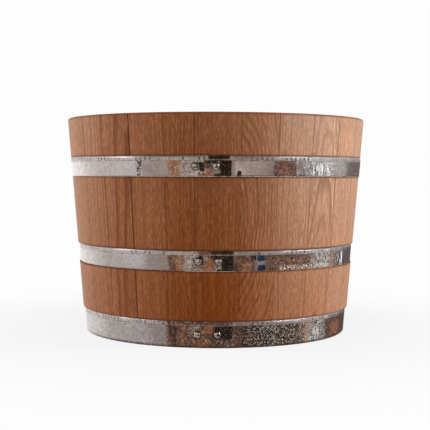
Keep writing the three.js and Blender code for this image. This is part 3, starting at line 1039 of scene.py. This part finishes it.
def make_staves():
    tree = make_stave_tree()
    outline = outline_curve("stave_outline", stave_outline(), RIM_RADIUS)
    dice = random.Random(TIMBER_SEED)
    half_gap = FIT / 2 / RIM_RADIUS
    joint_dirt = [dice.uniform(0.0, 0.5) for name in STAVE_NODES]
    joint_dirt[: len(FRONT_JOINT_DIRT)] = FRONT_JOINT_DIRT
    timbers = []
    settings = []
    for name in STAVE_NODES:
        start, end = stave_span(name)
        drawn = random_timber(dice)
        timbers.append(FRONT_TIMBER.get(name, drawn))
        tilt = math.tan(dice.uniform(-1, 1) * STAVE_TILT)
        sunk = abs(tilt) * RIM_RADIUS * (end - start) / 2
        lift = dice.uniform(-1, 0) * STAVE_LIFT - sunk
        settings.append((start, end, tilt, lift))
    for number, name in enumerate(STAVE_NODES):
        start, end, tilt, lift = settings[number]
        following = (number + 1) % len(STAVE_NODES)
        values = {
            "Outline": outline,
            "Start Angle": start + half_gap,
            "Sweep Angle": end - start - 2 * half_gap,
            "Lift": lift,
            "Tilt": tilt,
            "Material": STAVE_OAK,
        }
        piece = grow(name + "_oak", tree, values, bevel=STAVE_ARRIS)
        seams = (joint_dirt[number], joint_dirt[following])
        three = (timbers[number - 1], timbers[number], timbers[following])
        store_grain(piece.data, start, end, number, three, seams)
        finish_piece(piece, "stave_oak", name)
    bpy.data.objects.remove(outline)


# ---------------------------------------------------------------- hoops and rivets


# Marks on each hoop's front, by kind: where they start and end along the strip and up it, how
# far they fade, all in mm, and how solid they are. Along is counted from the outer end of the
# lap, up from the lower edge. The thinned band takes little of a mark, so those that lie on it
# alone are more than solid.
# On the front these marks are partly stains and partly painted reflection, shade and glints: orange and
# brown patches mirror the oak, dark ones the dim room and the shade beside a rivet, white runs and
# flecks the lamps.
HOOP_MARKS = {
    "top": {
        "rust_and_reflection": [
            (-38, 8, -20, 44, 16, 0.66), (30, 60, -16, 16, 8, 0.80), (164, 214, -16, 38, 20, 0.42),
        ],
        "soot_shade_and_reflection": [
            (-93, -74, -8, 36, 6, 0.56), (27, 44, 6, 30, 6, 0.74), (38, 66, 20, 34, 5, 0.72),
            (50, 80, -16, 10, 8, 0.78), (64, 120, -16, 36, 8, 0.85), (42, 90, 26, 60, 8, 2.00),
            (97, 111, -12, 14, 6, 0.85),
        ],
        "blue": [(204, 242, -12, 18, 12, 0.50)],
        "mottle": [
            (-4, 26, -12, 40, 8, 0.42), (34, 58, 10, 36, 8, 0.80), (161, 220, -16, 38, 10, 0.74),
            (206, 254, -16, 38, 20, 0.50),
        ],
        "streak": [(230, 314, -14, 40, 26, 0.72)],
        "fleck": [(-94, -70, -8, 36, 6, 0.90), (0, 36, -14, 38, 8, 0.92)],
    },
    "middle": {
        "rust_and_reflection": [
            (-25, 5, -16, 40, 9, 0.62), (24, 60, -16, 30, 9, 0.85), (96, 130, -16, 26, 12, 0.58),
            (150, 250, -16, 38, 20, 0.38), (298, 324, -14, 36, 8, 0.60),
        ],
        "soot_shade_and_reflection": [
            (21, 37, 8, 32, 6, 0.75), (44, 70, 20, 34, 5, 0.72), (50, 74, -16, 10, 8, 0.74),
            (62, 120, -16, 38, 8, 0.74), (87, 96, -12, 12, 5, 0.80), (115, 136, 14, 36, 8, 0.75),
            (44, 90, 26, 60, 8, 2.00),
        ],
        "blue": [
            (87, 98, -12, 18, 5, 0.90), (127, 153, -12, 17, 8, 0.78), (127, 153, 13, 38, 8, 0.72),
        ],
        "mottle": [
            (-37, -10, -16, 40, 9, 0.84), (4, 42, -6, 34, 10, 0.62), (38, 62, 6, 38, 8, 0.80),
            (80, 134, -16, 38, 10, 0.76), (142, 262, -16, 38, 12, 1.00), (20, 330, 26, 60, 8, 2.30),
        ],
        "streak": [(332, 368, -12, 36, 12, 0.90)],
        "fleck": [
            (-4, 32, -16, 40, 8, 0.92), (168, 312, -14, 18, 10, 0.95), (236, 266, -8, 38, 10, 0.85),
        ],
    },
    "bottom": {
        "rust_and_reflection": [
            (-11, 5, -16, 50, 6, 0.62), (2, 60, -16, 30, 16, 0.52), (34, 57, 21, 50, 7, 0.85),
            (233, 255, -12, 50, 8, 0.60), (304, 382, -12, 48, 22, 0.52),
        ],
        "soot_shade_and_reflection": [
            (-38, -4, -14, 52, 12, 0.50), (48, 120, 8, 52, 12, 0.72), (92, 240, -16, 58, 18, 0.53),
            (250, 420, -16, 58, 24, 0.44),
        ],
        "mottle": [
            (-40, 24, -16, 56, 10, 0.84), (0, 84, -16, 60, 12, 0.94), (74, 150, -16, 58, 12, 0.88),
            (164, 252, -16, 58, 14, 0.72), (292, 420, -16, 58, 16, 1.00),
            (-40, 160, 34, 80, 10, 2.20),
        ],
        "streak": [(240, 300, -14, 52, 18, 0.50)],
        "fleck": [(4, 36, 12, 50, 8, 0.90), (96, 312, -16, 58, 16, 0.84)],
    },
}
MARK_KINDS = ("rust_and_reflection", "soot_shade_and_reflection", "blue", "mottle", "streak", "fleck")
MARK_WOBBLE = 1.2 * MM

# The front's marks lie in this stretch, in mm. Past it they are drawn at random.
MARKED_FRONT = (-300, 420)
RANDOM_MARKS = 9
MARK_SEED = 5

# Where each hoop's zinc is crystalled, in mm along the strip from the lap, and how strongly
CRYSTALLED = {
    "top": [(-540, -420, 1.0), (-10, 44, 1.0), (200, 320, 0.8), (640, 900, 1.0)],
    "middle": [(-10, 64, 1.0), (140, 340, 1.0), (700, 860, 1.0)],
    "bottom": [(-400, -220, 1.0), (-230, -40, 0.4), (-50, 420, 1.0), (680, 820, 1.0)],
}
CRYSTALLED_FADE = 30 * MM


def random_marks(dice, hoop, length):
    """Patches of every kind but blue round the back of a hoop"""
    face = (hoop.high - hoop.low - BAND_HEIGHT) / MM
    whole = length / MM
    first, last = MARKED_FRONT[1], whole + MARKED_FRONT[0]
    marks = []
    for number in range(RANDOM_MARKS):
        kind = dice.choice(("rust_and_reflection", "soot_shade_and_reflection", "mottle", "mottle", "streak", "fleck"))
        start = first + (last - first) * (number + dice.uniform(0.0, 0.6)) / RANDOM_MARKS
        end = start + dice.uniform(14, 90)
        low = dice.choice((-8, -8, dice.uniform(0, 14)))
        high = dice.choice((face + 2, face + 2, dice.uniform(12, face)))
        solid = dice.uniform(0.45, 0.85)
        if end > whole / 2:
            start -= whole
            end -= whole
        marks.append((kind, start, end, low, high, dice.uniform(6, 18), solid))
    return marks


def store_marks(mesh, hoop, length, marks):
    """Writes the strength of each kind of mark on the hoop's points. Nothing marked on the lap
    runs over onto the strip beyond it."""
    strip = read_vectors(mesh.attributes["strip"].data, "vector")
    along = np.where(strip[:, 0] > length / 2, strip[:, 0] - length, strip[:, 0])
    up = strip[:, 1]
    bent = along + MARK_WOBBLE * np.sin(up / (6 * MM) + along / (14 * MM))
    strengths = np.zeros((len(along), len(MARK_KINDS)))
    for kind, start, end, low, high, fade, solid in marks:
        lengthways = np.minimum(bent - start * MM, end * MM - bent) / (fade * MM)
        upways = np.minimum(up - low * MM, high * MM - up) / (fade * MM)
        strength = np.clip(lengthways, 0.0, 1.0) * np.clip(upways, 0.0, 1.0) * solid
        if start * MM < 0.85 * LAP_LENGTH < end * MM:
            strength[along > LAP_LENGTH + JOGGLE_LENGTH * 0.3] = 0.0
        column = MARK_KINDS.index(kind)
        strengths[:, column] = np.maximum(strengths[:, column], strength)
    store(mesh, "marks", strengths[:, :3])
    store(mesh, "wear", strengths[:, 3:])
    crystalled = np.zeros(len(along))
    for start, end, strongly in CRYSTALLED[hoop.name]:
        inside = np.minimum(along - start * MM, end * MM - along)
        share = np.clip(inside / CRYSTALLED_FADE + 0.5, 0.0, 1.0)
        crystalled = np.maximum(crystalled, share * strongly)
    store(mesh, "crystalled", crystalled)


def hoop_outline(hoop):
    """(radius, height) of the strip's section, with softened edges"""
    band_low = hoop.high - BAND_HEIGHT
    first = hoop.low + HOOP_ARRIS
    outside = [(hoop.face_radius(hoop.low) - HOOP_ARRIS, hoop.low)]
    for row in range(STRIP_ROWS + 1):
        height = first + (band_low - first) * row / STRIP_ROWS
        outside.append((hoop.face_radius(height), height))
    for share in (0.5, 1.0):
        height = band_low + (BAND_HEIGHT - HOOP_ARRIS) * share
        outside.append((hoop.face_radius(height) - BAND_THINNING * share, height))
    outside.append((hoop.face_radius(hoop.high) - BAND_THINNING - HOOP_ARRIS, hoop.high))
    inside = [(hoop.face_radius(edge) - HOOP_THICKNESS, edge) for edge in (hoop.high, hoop.low)]
    return outside + inside


def point_object(name, seats):
    """A bare set of points, each with the direction it faces"""
    places, outwards = zip(*seats)
    mesh = bpy.data.meshes.new(name)
    mesh.from_pydata([tuple(place) for place in places], [], [])
    store(mesh, "outward", [tuple(outward) for outward in outwards])
    return add_object(name, mesh)


def rivet_seats(hoop):
    """Where each rivet's head sits on the lap, and which way it faces"""
    radius = hoop.face_radius(hoop.middle) + LAP_OFFSET - DIMPLE_DEPTH
    seats = []
    for side in (-1, 1):
        angle = hoop.rivet_angle(side)
        outward = on_tub(math.cos(WALL_ANGLE), angle, -math.sin(WALL_ANGLE))
        seats.append((on_tub(radius, angle, hoop.middle), outward))
    return seats


def make_hoops():
    tree = make_hoop_tree()
    dice = random.Random(MARK_SEED)
    for hoop in HOOPS:
        arm = hoop.face_radius(hoop.middle)
        lap = LAP_LENGTH / arm
        outline = outline_curve("hoop_outline", hoop_outline(hoop), arm)
        rivets = point_object("hoop_rivets", rivet_seats(hoop))
        values = {
            "Outline": outline,
            "Rivets": rivets,
            "Arm": arm,
            "Start Angle": hoop.lap_angle - lap / 2,
            "Lap Angle": lap,
            "Joggle Angle": JOGGLE_LENGTH / arm,
            "End Angle": 2 * math.pi + lap - LAP_SETBACK / arm,
            "Low Edge": hoop.low,
            "Band Low": hoop.high - hoop.low - BAND_HEIGHT,
            "Material": GALVANISED,
        }
        piece = grow(f"hoop_{hoop.name}_strip", tree, values)
        length = 2 * math.pi * arm
        front = [(kind, *row) for kind, rows in HOOP_MARKS[hoop.name].items() for row in rows]
        store_marks(piece.data, hoop, length, front + random_marks(dice, hoop, length))
        finish_piece(piece, "hoop_steel", "hoop_" + hoop.name)
        bpy.data.objects.remove(outline)
        bpy.data.objects.remove(rivets)


def rivet_blank():
    """One rivet on the origin, its domed head along +Z, turned from its half section"""
    tail_top = -2 * (HOOP_THICKNESS + FIT)
    tail_foot = tail_top - TAIL_HEIGHT
    section = [(0.0, tail_foot), (TAIL_RADIUS, tail_foot), (TAIL_RADIUS, tail_top)]
    section += [(SHANK_RADIUS, tail_top), (SHANK_RADIUS, 0.0), (HEAD_RADIUS * 0.97, 0.0)]
    for step in range(1, DOME_STEPS + 1):
        angle = step / DOME_STEPS * math.pi / 2
        section.append((HEAD_RADIUS * math.cos(angle), HEAD_HEIGHT * math.sin(angle) ** 0.8))
    build = bmesh.new()
    corners = [build.verts.new((radius, 0.0, height)) for radius, height in section]
    edges = [build.edges.new(pair) for pair in zip(corners, corners[1:])]
    bmesh.ops.spin(
        build,
        geom=corners + edges,
        cent=(0, 0, 0),
        axis=(0, 0, 1),
        angle=2 * math.pi,
        steps=RIVET_SIDES,
        use_merge=True,
    )
    bmesh.ops.remove_doubles(build, verts=build.verts, dist=0.01 * MM)
    bmesh.ops.recalc_face_normals(build, faces=build.faces)
    mesh = bpy.data.meshes.new("rivet_blank")
    build.to_mesh(mesh)
    build.free()
    # How far out each point lies on the head; the material darkens the edge with dirt and painted shade.
    grime = [Vector(corner.co[:2]).length / HEAD_RADIUS for corner in mesh.vertices]
    store(mesh, "grime", grime)
    return add_object("rivet_blank", mesh)


def make_rivets():
    seats = [seat for hoop in HOOPS for seat in rivet_seats(hoop)]
    points = point_object("rivet_places", seats)
    blank = rivet_blank()
    values = {"Places": points, "Rivet": blank, "Material": RIVET_STEEL}
    piece = grow("rivets", make_rivet_tree(), values)
    nodes = [f"rivet_{hoop.name}_{side}" for hoop in HOOPS for side in ("left", "right")]
    finish_piece(piece, "rivet_steel", *nodes)
    bpy.data.objects.remove(points)
    bpy.data.objects.remove(blank)


# ---------------------------------------------------------------- floor


def dress_floor():
    """The boards and dowels keep their solids and get timber of their own."""
    dice = random.Random(TIMBER_SEED)
    for name in sorted(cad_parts):
        if not name.startswith(("floor_board_", "dowel_")):
            continue
        centre = (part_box(name)[0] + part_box(name)[1]) / 2
        pith = (centre.x + dice.uniform(-0.04, 0.04), dice.uniform(0.03, 0.1), dice.uniform(-0.05, 0.05))
        material = make_board_oak(name + "_oak", dice.uniform(0, 9), pith, dice.uniform(0.9, 1.08))
        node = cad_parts[name]
        node.data.materials.clear()
        node.data.materials.append(material)


# ---------------------------------------------------------------- studio

FLOOR_REACH = 15.0
FLOOR_GREY = (0.5, 0.5, 0.5, 1.0)
WHITE = (0.985, 0.985, 0.985, 1.0)
AMBIENT = 0.33

# Soft boxes: azimuth in degrees, height and distance, width and height of the box in metres,
# and power in watts. They aim at the middle of the tub.
SOFTBOXES = {
    "left_softbox": (-104, 0.9, 2.4, 1.8, 1.8, 48),
    "right_softbox": (84, 1.0, 2.2, 0.8, 1.8, 56),
    "top_softbox": (-20, 2.6, 1.0, 2.0, 2.0, 38),
}
AIM = Vector((0.0, 0.0, 0.2))

# The photograph's frame: the camera's distance and height, how far it looks down, and its lens
CAMERA_DISTANCE = 2.1
CAMERA_HEIGHT = 0.312
CAMERA_PITCH = math.radians(2.19)
CAMERA_TURN = math.radians(0.034)
CAMERA_ROLL = math.radians(-0.2)
CAMERA_LENS_MM = 85.6
SENSOR_MM = 36


def make_floor():
    """A pale floor, white to the camera away from the tub. It keeps the tub's shadow, and gloss
    looks past it to the studio."""
    mesh = bpy.data.meshes.new("floor")
    corners = [(x * FLOOR_REACH, y * FLOOR_REACH, 0) for x, y in ((-1, -1), (1, -1), (1, 1), (-1, 1))]
    mesh.from_pydata(corners, [], [(0, 1, 2, 3)])
    floor = add_object("floor", mesh)
    floor.visible_glossy = False
    t = new_material("pale_floor")
    place = t.add("TexCoord", None, "Object")
    camera_ray = t.add("LightPath", None, "Is Camera Ray")
    plain = t.add("BsdfDiffuse", {"Color": FLOOR_GREY})
    white = t.add("Emission", {"Color": WHITE})
    veil = camera_ray * t.range(t.length(place), 0.25, 0.9, 0.84, 1)
    shown = t.add("MixShader", {0: veil, 1: plain, 2: white})
    mesh.materials.append(t.show("Material", shown))


def make_world():
    t = clear_tree(bpy.data.worlds.new("studio"))
    direction = t.add("TexCoord", None, "Generated")
    path = t.add_all("LightPath")
    ambient = t.add("Background", {"Color": (1, 1, 1, 1), "Strength": AMBIENT})
    white = t.add("Background", {"Color": WHITE})
    room = t.add("Background", {"Color": t.group(STUDIO, {"Direction": direction})["Color"]})
    unseen = t.add("MixShader", {0: path["Is Glossy Ray"], 1: ambient, 2: room})
    straight = t.larger(path["Is Camera Ray"], path["Is Transmission Ray"])
    world = t.show("World", t.add("MixShader", {0: straight, 1: unseen, 2: white}))
    # Gloss and matt surfaces see different skies, so rays pick the sky, not light sampling.
    world.cycles.sampling_method = "NONE"
    scene.world = world


def make_softbox(name, azimuth, height, distance, width, tall, power):
    light = bpy.data.lights.new(name, "AREA")
    light.shape = "RECTANGLE"
    light.size = width
    light.size_y = tall
    light.energy = power
    lamp = add_object(name, light)
    lamp.visible_glossy = False
    place = on_tub(distance, math.radians(azimuth), height)
    turn = (AIM - place).to_track_quat("-Z", "Y").to_matrix().to_4x4()
    lamp.matrix_world = Matrix.Translation(place) @ turn


def make_camera():
    data = bpy.data.cameras.new("camera")
    data.lens = CAMERA_LENS_MM
    data.sensor_width = SENSOR_MM
    camera = add_object("camera", data)
    camera.location = (0.0, -CAMERA_DISTANCE, CAMERA_HEIGHT)
    camera.rotation_euler = (math.pi / 2 - CAMERA_PITCH, CAMERA_ROLL, CAMERA_TURN)
    scene.camera = camera


make_camera()
make_staves()
make_hoops()
make_rivets()
dress_floor()
make_floor()
make_world()
for name, setting in SOFTBOXES.items():
    make_softbox(name, *setting)
scene.view_settings.view_transform = "Standard"
